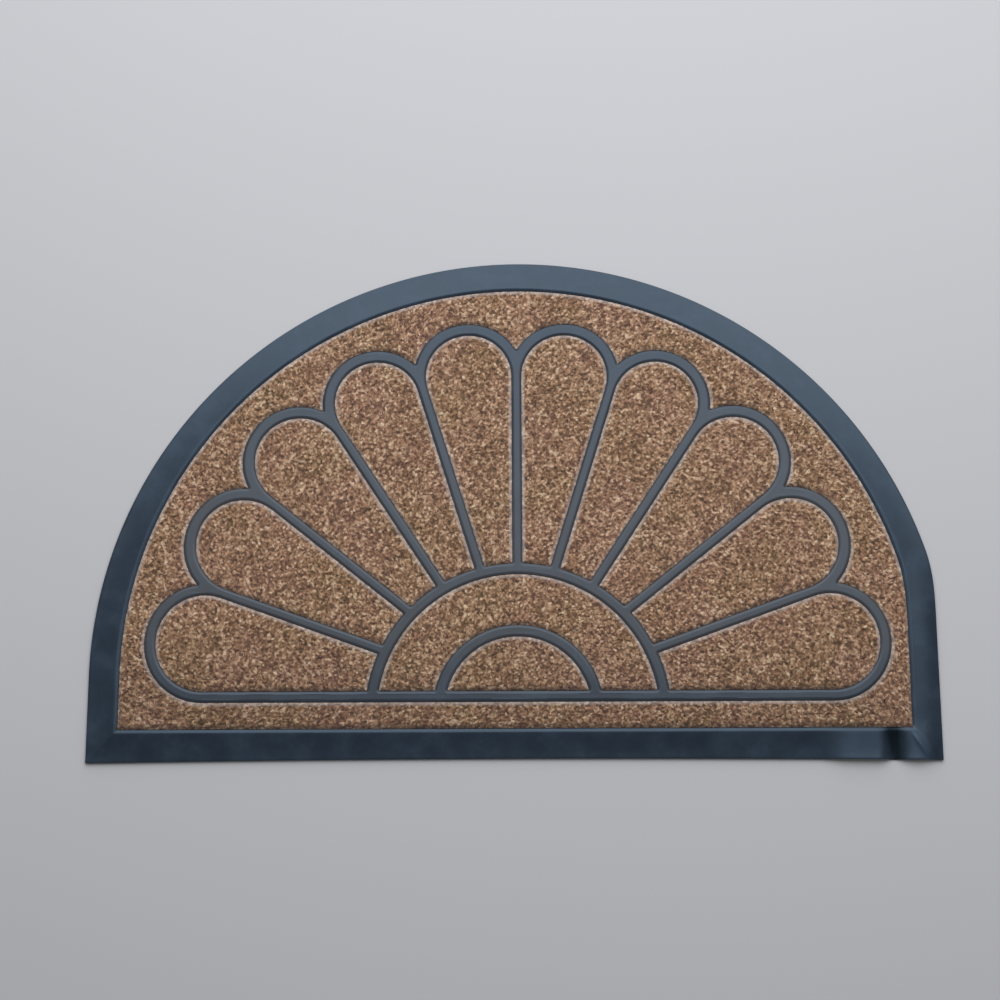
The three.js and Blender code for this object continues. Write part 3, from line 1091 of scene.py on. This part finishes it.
@dataclass
class RubberBase:
    """The moulding: backing, bevelled border and the ribs of the fan.

    Attributes:
        rim: Height of the rim, whose two edges are rounded by rim_round in rim_steps rows each.
        bevel_steps: Rows of the bevel, both ends included.
        hollow: Power that the bevel's height follows.
        crowned: Power that it follows where it rolls over, by crown_share.
        lip_width: Distance from the field to the bevel's crest, lip_drop under the top.
        lip_ease: Width of the last step up to the top.
        lip_wear: Wear on the front lip, as a share of that on the ribs.
        shoulder: Width of the ribs' sloping shoulders, and border_shoulder of the border's.
        shoulder_drop: How far a shoulder falls, by a power of shoulder_power, in shoulder_steps.
        wall_gap: How far a pocket's wall stands outside its outline, wall_round high at its edge.
        top_margin: Distance from a shoulder to the row that keeps the top's shading level.
        unworn_rows: Rows of a rib's side, from the pocket's floor up, that shoes don't reach.
        roll_from: X and Y past which the right side rolls over, up to roll_stop in Y, where it
            fades over roll_fade.
        rib_spacing: Greatest distance between points along a rib, and rib_turn its degrees.
        wave: Height of the rubber's unevenness, on a lattice of wave_spacing.
    """

    sizes: MatSizes
    fan: Fan
    moon: HalfMoon
    buckle: Buckle
    finish: bpy.types.Material
    rim: float = 3.2
    rim_round: float = 0.9
    rim_steps: int = 4
    bevel_steps: int = 12
    hollow: float = 1.25
    crowned: float = 3.0
    crown_share: float = 0.62
    lip_width: float = 3.9
    lip_ease: float = 0.5
    lip_drop: float = 0.06
    lip_wear: float = 0.7
    shoulder: float = 2.4
    border_shoulder: float = 2.8
    shoulder_power: float = 1.45
    shoulder_drop: float = 1.05
    shoulder_steps: int = 7
    wall_gap: float = 0.16
    wall_round: float = 0.15
    top_margin: float = 0.35
    unworn_rows: int = 3
    roll_from: tuple[float, float] = (350.0, 1.0)
    roll_stop: float = 190.0
    roll_fade: float = 60.0
    rib_spacing: float = 3.0
    rib_turn: float = 7.0
    wave: float = 0.12
    wave_spacing: float = 24.0

    def shoulder_profile(self, width: float) -> list[tuple[float, float]]:
        """Growth and height from a pocket's floor up its wall and over the rib's sloping shoulder.

        The shoulder falls from the flat top by a power of the distance left to the top, so it is
        steepest at its foot, and a last point on the top keeps its shading level.

        Args:
            width: Width of the shoulder in mm.

        Returns:
            Growth and height of each step.
        """
        share = np.linspace(0, 1, self.shoulder_steps)
        reach = self.wall_gap + width * share
        height = self.sizes.top - self.shoulder_drop * (1 - share) ** self.shoulder_power
        steps = list(zip(reach.tolist(), height.tolist()))
        wall = [(self.wall_gap, self.sizes.floor), (self.wall_gap, steps[0][1] - self.wall_round)]
        return [*wall, *steps, (steps[-1][0] + self.top_margin, self.sizes.top)]

    def row(self, growth: float, height: float, is_outside: bool) -> np.ndarray:
        """One level row of the border: an outline grown outwards, at a height."""
        outline = self.moon.outline(self.buckle, growth, is_outside)
        return np.column_stack([outline, np.full(len(outline), height)])

    def border_rows(self) -> np.ndarray:
        """Rows of the border from the underside out round the rim, up the bevel and into the pocket.

        The rim is rounded by two quarter circles. The bevel runs between the rim's outline and the
        lip's, by t, with heights from bevel_height.

        Returns:
            The rows, (rows, columns, 3), in mm.
        """
        rows = [self.row(self.wall_gap, 0.0, False)]
        turns = np.radians(np.linspace(0, 90, self.rim_steps))
        for turn in turns:
            shrink = self.rim_round * (1 - math.sin(turn))
            rows.append(self.row(-shrink, self.rim_round * (1 - math.cos(turn)), True))
        for turn in turns:
            shrink = self.rim_round * (1 - math.cos(turn))
            rows.append(self.row(-shrink, self.rim - self.rim_round * (1 - math.sin(turn)), True))
        rim = self.moon.outline(self.buckle, -self.rim_round, True)
        lip = self.moon.outline(self.buckle, self.lip_width, False)
        rolled = self.rolled_share(rim)
        for t in np.linspace(0, 1, self.bevel_steps)[1:]:
            rows.append(np.column_stack([rim + (lip - rim) * t, self.bevel_height(t, rolled)]))
        rows.append(self.row(self.lip_width - self.lip_ease, self.sizes.top, False))
        for growth, height in reversed(self.shoulder_profile(self.border_shoulder)):
            rows.append(self.row(growth, height, False))
        return np.stack(rows)

    def rolled_share(self, outline: np.ndarray) -> np.ndarray:
        """From 0 to 1, how much each column belongs to the drawn-in right side, which rolls over."""
        is_side = (outline[:, 0] > self.roll_from[0]) & (outline[:, 1] > self.roll_from[1])
        stop = np.clip((self.roll_stop - outline[:, 1]) / self.roll_fade, 0, 1)
        return np.maximum(is_side * stop, self.buckle.flattened(outline))

    def bevel_height(self, t: float, rolled: np.ndarray) -> np.ndarray:
        """Height across the bevel, which is hollow, a power of t, but crowned where it rolls over.

        Args:
            t: Share of the way from rim to lip.
            rolled: Share of each column that is crowned: the mean of t and 1 - (1 - t) to a power.

        Returns:
            The height of each column.
        """
        crown = t + self.crown_share * (1 - (1 - t) ** self.crowned - t)
        shape = (1 - rolled) * t**self.hollow + rolled * crown
        return self.rim + (self.sizes.top - self.lip_drop - self.rim) * shape

    def build(self) -> bpy.types.Object:
        """Makes the whole moulding as one closed mesh."""
        shell = Shell()
        border = shell.add(self.border_rows())
        shell.quads(border, closed=True)
        shell.fill([border[0]], up=False)
        profile = self.shoulder_profile(self.shoulder)
        fan_edge = self.fan.outer_loop().respaced(self.rib_spacing, self.rib_turn).moved(self.fan.axis_x)
        facing_out = [(-growth, height) for growth, height in profile]
        fan_rows = self.swept(shell, fan_edge, facing_out, outside=True)
        shell.fill([border[-1], fan_rows[0]], up=True)
        tops = [fan_rows[-1]]
        worn = [fan_rows[self.unworn_rows :].ravel()]
        for loop in self.fields():
            rows = self.swept(shell, loop, profile, outside=False)
            shell.fill([rows[0]], up=True)
            tops.append(rows[-1])
            worn.append(rows[self.unworn_rows :].ravel())
        shell.fill(tops, up=True)
        points = shell.points()
        values = self.wear_and_painted_light(points, border, np.concatenate(worn))
        piece = shell.piece("rubber_moulding", self.sizes.to_frame(self.settled(points)), values)
        shell.sharpen(piece, [border[:, 0]])
        piece.data.materials.append(self.finish)
        return piece

    def wear_and_painted_light(
        self, points: np.ndarray, border: np.ndarray, tops: np.ndarray
    ) -> dict[str, np.ndarray]:
        """What the finish reads: worn ribs and front lip, crests' painted highlight, crease's painted
        shade.

        Args:
            points: All vertices in mm.
            border: Indices of the border's rows.
            tops: Indices of the ribs' upper faces.

        Returns:
            The values at each vertex by name.
        """
        front = len(self.moon.stations(self.buckle))
        bevel_start = 2 * self.rim_steps
        bevel_stop = bevel_start + self.bevel_steps
        bevel, lip = border[bevel_start:bevel_stop, :front], border[bevel_stop : bevel_stop + 2, :front]
        values = {name: np.zeros(len(points)) for name in ("worn", "flexed")}
        values["worn"][tops] = 1.0
        values["worn"][lip] = self.lip_wear
        # Painted highlight on the bevel over the buckle's crests.
        values["flexed"][bevel] = self.buckle.crest_highlighting(points[bevel, 0])
        # Painted shade in the buckle's crease.
        values["grime"] = self.buckle.crease_shading(points[:, 0], points[:, 1])
        return values

    def fields(self) -> list[Loop]:
        """Outline of each carpet field inside the fan."""
        loops = [self.fan.band_loop(), self.fan.sun_loop()]
        for petal in self.fan.petals():
            loop = self.fan.petal_loop(petal)
            loops += [loop, loop.mirrored()]
        return [loop.respaced(self.rib_spacing, self.rib_turn).moved(self.fan.axis_x) for loop in loops]

    @staticmethod
    def swept(
        shell: Shell, loop: Loop, profile: list[tuple[float, float]], outside: bool
    ) -> np.ndarray:
        """Carries a profile along a loop: each point plus its normal times the growth.

        Args:
            shell: Where the surface goes.
            loop: The path.
            profile: Growth and height of each row.
            outside: True if the pocket lies outside the loop.

        Returns:
            The indices, a row for each step of the profile.
        """
        normals = outward(loop.points)
        growths, heights = np.array(profile).T[:, :, None, None]
        outlines = loop.points + normals * growths
        rows = np.concatenate([outlines, np.broadcast_to(heights, (*outlines.shape[:2], 1))], axis=2)
        ids = shell.add(rows)
        shell.quads(ids if outside else ids[:, ::-1], closed=True)
        return ids

    def settled(self, points: np.ndarray) -> np.ndarray:
        """Adds the buckle, its crease and a slight unevenness to the top faces."""
        x, y, z = points.T
        share = np.clip((z - self.sizes.floor) / (self.sizes.top - self.sizes.floor), 0, 1)
        uneven = self.wave * ValueNoise(self.wave_spacing, SEED + 1).at(points[:, :2]) * share
        height = z * (1 - self.buckle.crease(x, y)) + self.buckle.rise(x, y)
        return np.column_stack([x, y, height + uneven])


class FieldGrid:
    """Grids of points over a carpet field, finer near its edges."""

    SIDE_SAMPLES: int = 60

    def __init__(self, spacing: float) -> None:
        """Keeps the spacing of the pile's points in mm."""
        self.spacing = spacing
        self.edge_rows = np.array([0.0, 0.4, 0.9, 1.5, 2.2])

    def graded(self, width: float) -> np.ndarray:
        """Fractions across a width: close rows at both edges and even ones between.

        Args:
            width: The width in mm.

        Returns:
            Fractions from 0 to 1.
        """
        near = self.edge_rows / width
        count = max(int((width - 2 * self.edge_rows[-1]) / self.spacing), 2)
        middle = np.linspace(near[-1], 1 - near[-1], count + 1)[1:-1]
        return np.concatenate([near, middle, 1 - near[::-1]])

    def patch(self, loop: Loop) -> np.ndarray:
        """A four-sided patch over a loop.

        It is a Coons patch: bottom and top blended by v, plus left and right blended by u, less the
        four corners blended by both.

        Args:
            loop: The outline, with its four sides bottom, right, top and left.

        Returns:
            Points, (rows, columns, 2), with rows from the bottom up.
        """
        samples = np.linspace(0, 1, self.SIDE_SAMPLES)
        size = [lengths(loop.side(i, samples))[-1] for i in range(4)]
        u = self.graded(max(size[0], size[2]))
        v = self.graded(max(size[1], size[3]))
        bottom, right = loop.side(0, u), loop.side(1, v)
        top, left = loop.side(2, 1 - u), loop.side(3, 1 - v)
        u, v = u[None, :, None], v[:, None, None]
        ruled = (1 - v) * bottom[None] + v * top[None] + (1 - u) * left[:, None] + u * right[:, None]
        corners = (1 - v) * ((1 - u) * bottom[0] + u * bottom[-1]) + v * ((1 - u) * top[0] + u * top[-1])
        return ruled - corners

    def strip(self, inner: np.ndarray, outer: np.ndarray) -> np.ndarray:
        """A closed strip ruled between two loops of matched points.

        Args:
            inner: Inner loop, (columns, 2).
            outer: Outer loop, (columns, 2).

        Returns:
            Points, (rows, columns, 2), with rows from the outer loop inwards.
        """
        width = float(np.median(np.linalg.norm(outer - inner, axis=1)))
        t = self.graded(width)[:, None, None]
        return outer * (1 - t) + inner * t


def nearest_edge(
    points: np.ndarray, edge: np.ndarray, chunk: int = 4000
) -> tuple[np.ndarray, np.ndarray]:
    """Distance from each point to the nearest point of an edge, in chunks to save memory.

    Args:
        points: Points, (n, 2).
        edge: Points along the edge, (m, 2).
        chunk: Points at a time.

    Returns:
        Distances in mm, and the index of the edge's point.
    """
    distances, indices = [], []
    for start in range(0, len(points), chunk):
        part = points[start : start + chunk]
        square = (part**2).sum(1)[:, None] + (edge**2).sum(1)[None] - 2 * part @ edge.T
        distances.append(np.sqrt(np.clip(square.min(axis=1), 0, None)))
        indices.append(square.argmin(axis=1))
    return np.concatenate(distances), np.concatenate(indices)


@dataclass
class CarpetInlays:
    """The thirteen carpet pieces, each a closed slab with a needled face and pressed edges.

    Attributes:
        spacing: Distance between the points of a face.
        crown: Height of a face, which falls to edge_height over the width roll.
        seat: Height of the underside.
        pile_height: Height of a lock of fibres, of which pile_middle lies under the face.
        edge_pile: Share of the pile that stands at the edge.
        soft_height: Height of the face's softer swell, on a lattice of soft_spacing.
        side_shade_turn: How far the straight sides count as turned to the front, which takes most
        of the painted edge highlight off them and paints some edge shade on them.
        side_from: X of the normal from which a side counts as straight, over side_ease.
        edge_points: Points along the field's edge that distances are measured to.
        match_centre: Point about which the two edges of the outer piece are matched by angle.
        match_angles: The angles, in degrees.
    """

    sizes: MatSizes
    fan: Fan
    moon: HalfMoon
    buckle: Buckle
    finish: bpy.types.Material
    pile: Pile
    spacing: float = 1.05
    crown: float = 6.75
    edge_height: float = 6.05
    seat: float = 2.7
    roll: float = 1.9
    pile_height: float = 0.75
    pile_middle: float = 0.45
    edge_pile: float = 0.25
    soft_height: float = 0.12
    soft_spacing: float = 9.0
    side_shade_turn: float = 0.7
    side_from: float = 0.97
    side_ease: float = 0.025
    edge_points: int = 3000
    match_centre: tuple[float, float] = (0.0, 150.0)
    match_angles: tuple[int, ...] = tuple(range(-70, 251, 8))

    def relief(self, xy: np.ndarray, distance: np.ndarray) -> tuple[np.ndarray, dict[str, np.ndarray]]:
        """Height of the face and what the finish reads.

        The face is level but for a quarter ellipse down to its edge, and the pile stands on it,
        less and less towards the edge.

        Args:
            xy: Points in mm.
            distance: Distance of each from the edge in mm.

        Returns:
            Heights, and the values at each point by name.
        """
        inwards = np.clip(distance / self.roll, 0, 1)
        rolled = np.sqrt(1 - (1 - inwards) ** 2)
        locks, shade = self.pile.at(xy)
        soft = ValueNoise(self.soft_spacing, SEED + 2).at(xy)
        standing = self.edge_pile + (1 - self.edge_pile) * inwards
        height = self.edge_height + (self.crown - self.edge_height) * rolled
        swell = self.pile_height * (locks - self.pile_middle) + self.soft_height * soft
        height = height + standing * swell
        return height, {"relief": locks, "shade": shade, "edge": distance}

    def slab(self, name: str, grid: np.ndarray, edge: np.ndarray, closed: bool) -> bpy.types.Object:
        """Makes one inlay from the grid of its face.

        Args:
            name: The object's name.
            grid: Points of the face, (rows, columns, 2).
            edge: X, Y and Y of the outward normal at points along the field's edge.
            closed: True if the grid is a closed strip.

        Returns:
            The object.
        """
        shape = grid.shape[:2]
        xy = grid.reshape(-1, 2)
        distance, nearest = nearest_edge(xy, edge[:, :2])
        height, values = self.relief(xy, distance)
        values["facing"] = edge[nearest, 2]
        shell = Shell()
        face = shell.add(np.column_stack([xy, height]).reshape(*shape, 3))
        shell.quads(face, closed)
        if closed:
            rims = [(face[0], True), (face[-1], False)]
        else:
            around = [face[0], face[1:, -1], face[-1, -2::-1], face[-2:0:-1, 0]]
            rims = [(np.concatenate(around), True)]
        points = shell.points()
        skirts = []
        for rim, is_outer in rims:
            low = shell.add(np.column_stack([points[rim, :2], np.full(len(rim), self.seat)]))
            pair = np.stack([low, rim])
            shell.quads(pair if is_outer else pair[:, ::-1], closed=True)
            skirts.append(low)
        shell.fill(skirts, up=False)
        extra = shell.count - len(xy)
        values = {key: np.concatenate([value, np.zeros(extra)]) for key, value in values.items()}
        piece = shell.piece(name, self.sizes.to_frame(shell.points()), values)
        piece.data.materials.append(self.finish)
        return piece

    def patched(self, name: str, loop: Loop, side: Side = Side.RIGHT) -> bpy.types.Object:
        """Makes an inlay over a four-sided loop, mirrored on the left side."""
        grid = FieldGrid(self.spacing).patch(loop)
        edge = np.column_stack([loop.points, outward(loop.points)[:, 1]])
        if side is Side.LEFT:
            grid = grid[:, ::-1] * (-1, 1)
            edge = edge * (-1, 1, 1)
        return self.slab(name, grid + (self.fan.axis_x, 0), edge + (self.fan.axis_x, 0, 0), closed=False)

    def outer(self, name: str) -> bpy.types.Object:
        """Makes the inlay round the fan.

        The points of its two edges are matched by angle, and evenly between the angles. The
        straight sides count as turned partly to the front, which takes most of the painted edge
        highlight off them and paints some edge shade on them.
        """
        inner_loop = self.fan.outer_loop().moved(self.fan.axis_x).points
        outer_loop = self.moon.outline(self.buckle, 0.0, False)
        inner, outer = self.matched(inner_loop, outer_loop)
        grid = FieldGrid(self.spacing).strip(inner, outer)
        outside = along(outer_loop, np.linspace(0, 1, self.edge_points))
        turned = outward(outside)
        upright = eased((np.abs(turned[:, 0]) - self.side_from) / self.side_ease)
        edges = [
            np.column_stack([inner_loop, -outward(inner_loop)[:, 1]]),
            np.column_stack([outside, turned[:, 1] - self.side_shade_turn * upright]),
        ]
        return self.slab(name, grid, np.concatenate(edges), closed=True)

    def matched(self, inner: np.ndarray, outer: np.ndarray) -> tuple[np.ndarray, np.ndarray]:
        """Respaces both edges so that they have as many points, matched one to one.

        Args:
            inner: The fan's outer edge, closed.
            outer: The field's outer edge, closed.

        Returns:
            Inner and outer points.
        """
        inner_ring = np.concatenate([inner, inner[:1]])
        outer_ring = np.concatenate([outer, outer[:1]])
        pairs = np.array([self.match(inner_ring, outer_ring, angle) for angle in self.match_angles])
        first = pairs[0]
        inner_at = np.unwrap(pairs[:, 0] * 2 * np.pi) / (2 * np.pi)
        outer_at = np.unwrap(pairs[:, 1] * 2 * np.pi) / (2 * np.pi)
        inner_at = np.append(inner_at, first[0] + 1 + (inner_at[0] - first[0]))
        outer_at = np.append(outer_at, first[1] + 1 + (outer_at[0] - first[1]))
        count = int(lengths(outer_ring)[-1] / self.spacing)
        steps = np.linspace(0, 1, count + 1)[:-1]
        stations = (inner_at - inner_at[0] + outer_at - outer_at[0]) / 2
        inner_place = np.interp(steps, stations, inner_at)
        outer_place = np.interp(steps, stations, outer_at)
        return along(inner_ring, inner_place % 1), along(outer_ring, outer_place % 1)

    def match(self, inner: np.ndarray, outer: np.ndarray, angle: float) -> tuple[float, float]:
        """Fractions of the two rings' lengths at which a ray at an angle meets them."""
        found = []
        for ring in (inner, outer):
            way = ring - self.match_centre
            bearing = np.degrees(np.arctan2(way[:, 1], way[:, 0]))
            off = np.abs((bearing - angle + 180) % 360 - 180)
            at = lengths(ring)
            found.append(float(at[int(np.argmin(off))] / at[-1]))
        return found[0], found[1]

    def build(self) -> dict[str, bpy.types.Object]:
        """Makes every inlay, by the name of the solid it stands for."""
        made = {"carpet_outer": self.outer("pile_outer")}
        made["carpet_band"] = self.patched("pile_band", self.fan.band_loop())
        made["carpet_sun"] = self.patched("pile_sun", self.fan.sun_loop())
        for petal in self.fan.petals():
            loop = self.fan.petal_loop(petal)
            for side in Side:
                name = f"{petal.head.name}_{side.name.lower()}"
                made[f"carpet_petal_{name}"] = self.patched(f"pile_petal_{name}", loop, side)
        return made


# Studio


@dataclass(frozen=True)
class SoftBox:
    """A soft box that faces the mat: place and size in metres, power in watts."""

    name: str
    place: tuple[float, float, float]
    size: tuple[float, float]
    power: float
    colour: str = "#f1f4ff"

    def hang(self) -> None:
        """Adds the light."""
        data = bpy.data.lights.new(self.name, "AREA")
        data.shape = "RECTANGLE"
        data.size, data.size_y = self.size
        data.energy = self.power
        data.color = linear(self.colour)[:3]
        light = bpy.data.objects.new(self.name, data)
        light.location = self.place
        light.rotation_mode = "QUATERNION"
        light.rotation_quaternion = Vector(self.place).to_track_quat("Z", "Y")
        bpy.context.scene.collection.objects.link(light)


@dataclass(frozen=True)
class Studio:
    """Pale floor, two soft boxes behind the mat, a faint even sky and the photograph's camera."""

    floor_size: float = 6.0
    floor_colour: str = "#cccac6"
    look_at: tuple[float, float] = (-11.55, 5.82)
    distance: float = 1600.4
    tilt: float = 11.76
    roll: float = -0.22
    lens: float = 64.8
    sensor: float = 36.0
    sky_colour: str = "#eef2f8"
    sky_strength: float = 0.2
    boxes: tuple[SoftBox, ...] = (
        SoftBox("sky_behind", (0.12, 0.8, 1.5), (2.25, 1.4), 27.0),
        SoftBox("low_sky_behind", (0.0, 2.0, 0.8), (3.4, 1.5), 27.0),
    )

    def floor(self) -> None:
        """Lays the floor just under the mat."""
        half = self.floor_size / 2
        mesh = bpy.data.meshes.new("floor")
        corners = [(-half, -half, 0), (half, -half, 0), (half, half, 0), (-half, half, 0)]
        mesh.from_pydata(corners, [], [(0, 1, 2, 3)])
        floor = bpy.data.objects.new("floor", mesh)
        bpy.context.scene.collection.objects.link(floor)
        material = bpy.data.materials.new("matt studio floor")
        material.use_nodes = True
        shader = material.node_tree.nodes["Principled BSDF"]
        shader.inputs["Base Color"].default_value = linear(self.floor_colour)
        shader.inputs["Roughness"].default_value = 0.9
        mesh.materials.append(material)

    def camera(self) -> None:
        """Places the camera: it looks down at the mat, tilted from the upright."""
        tilt, roll = math.radians(self.tilt), math.radians(self.roll)
        back = Vector((0, -math.sin(tilt), math.cos(tilt)))
        across, upwards = Vector((1, 0, 0)), Vector((0, math.cos(tilt), math.sin(tilt)))
        right = across * math.cos(roll) + upwards * math.sin(roll)
        up = upwards * math.cos(roll) - across * math.sin(roll)
        place = Vector((*self.look_at, 0)) * MM + back * self.distance * MM
        data = bpy.data.cameras.new("camera")
        data.lens, data.sensor_width = self.lens, self.sensor
        camera = bpy.data.objects.new("camera", data)
        axes = Matrix((right, up, back)).transposed()
        camera.matrix_world = Matrix.Translation(place) @ axes.to_4x4()
        bpy.context.scene.collection.objects.link(camera)
        bpy.context.scene.camera = camera

    def build(self) -> None:
        """Sets the stage."""
        self.floor()
        self.camera()
        for box in self.boxes:
            box.hang()
        world = bpy.data.worlds.new("studio")
        world.use_nodes = True
        background = world.node_tree.nodes["Background"]
        background.inputs["Color"].default_value = linear(self.sky_colour)
        background.inputs["Strength"].default_value = self.sky_strength
        bpy.context.scene.world = world
        bpy.context.scene.view_settings.view_transform = "Standard"


def flat_cut(node: str) -> tuple[tuple[float, float], float]:
    """Flat size of an inlay's cut: its solid's box, and the area of the faces that point down.

    Args:
        node: The solid's name.

    Returns:
        Width and length in metres, and area in square metres.
    """
    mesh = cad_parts[node].data
    mesh.calc_loop_triangles()
    places = np.empty(len(mesh.vertices) * 3)
    mesh.vertices.foreach_get("co", places)
    places = places.reshape(-1, 3)
    triangles = np.empty(len(mesh.loop_triangles) * 3, dtype=int)
    mesh.loop_triangles.foreach_get("vertices", triangles)
    a, b, c = (places[triangles.reshape(-1, 3)[:, k]] for k in range(3))
    turned = np.cross(b - a, c - a)[:, 2] / 2
    area = float(-turned[turned < 0].sum())
    size = np.ptp(places, axis=0)
    return (float(size[1]), float(size[0])), area


def dress(piece: bpy.types.Object, node: str) -> None:
    """Puts a piece in place of a solid.

    Args:
        piece: The new piece.
        node: The solid that it stands for.
    """
    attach(piece, "root")
    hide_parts(node)


def main() -> None:
    """Builds the stage, the moulding and the inlays, and reports each piece."""
    logging.basicConfig(level=logging.INFO, format="%(name)s: %(message)s")
    sizes, fan, buckle = MatSizes(), Fan(), Buckle()
    moon = HalfMoon(sizes)
    Studio().build()
    base = RubberBase(sizes, fan, moon, buckle, MouldedRubber().build(sizes)).build()
    dress(base, "rubber_base")
    LOG.info("%s: %d faces", base.name, len(base.data.polygons))
    inlays = CarpetInlays(sizes, fan, moon, buckle, NeedledCarpet().build(), Pile()).build()
    for node, piece in inlays.items():
        dress(piece, node)
        (width, length), area = flat_cut(node)
        if node == "carpet_outer":
            width, length = area / RING_LENGTH, RING_LENGTH
        LOG.info("%s: %d faces, cut area %.4f square metres", piece.name, len(piece.data.polygons), area)


if __name__ == "__main__":
    main()
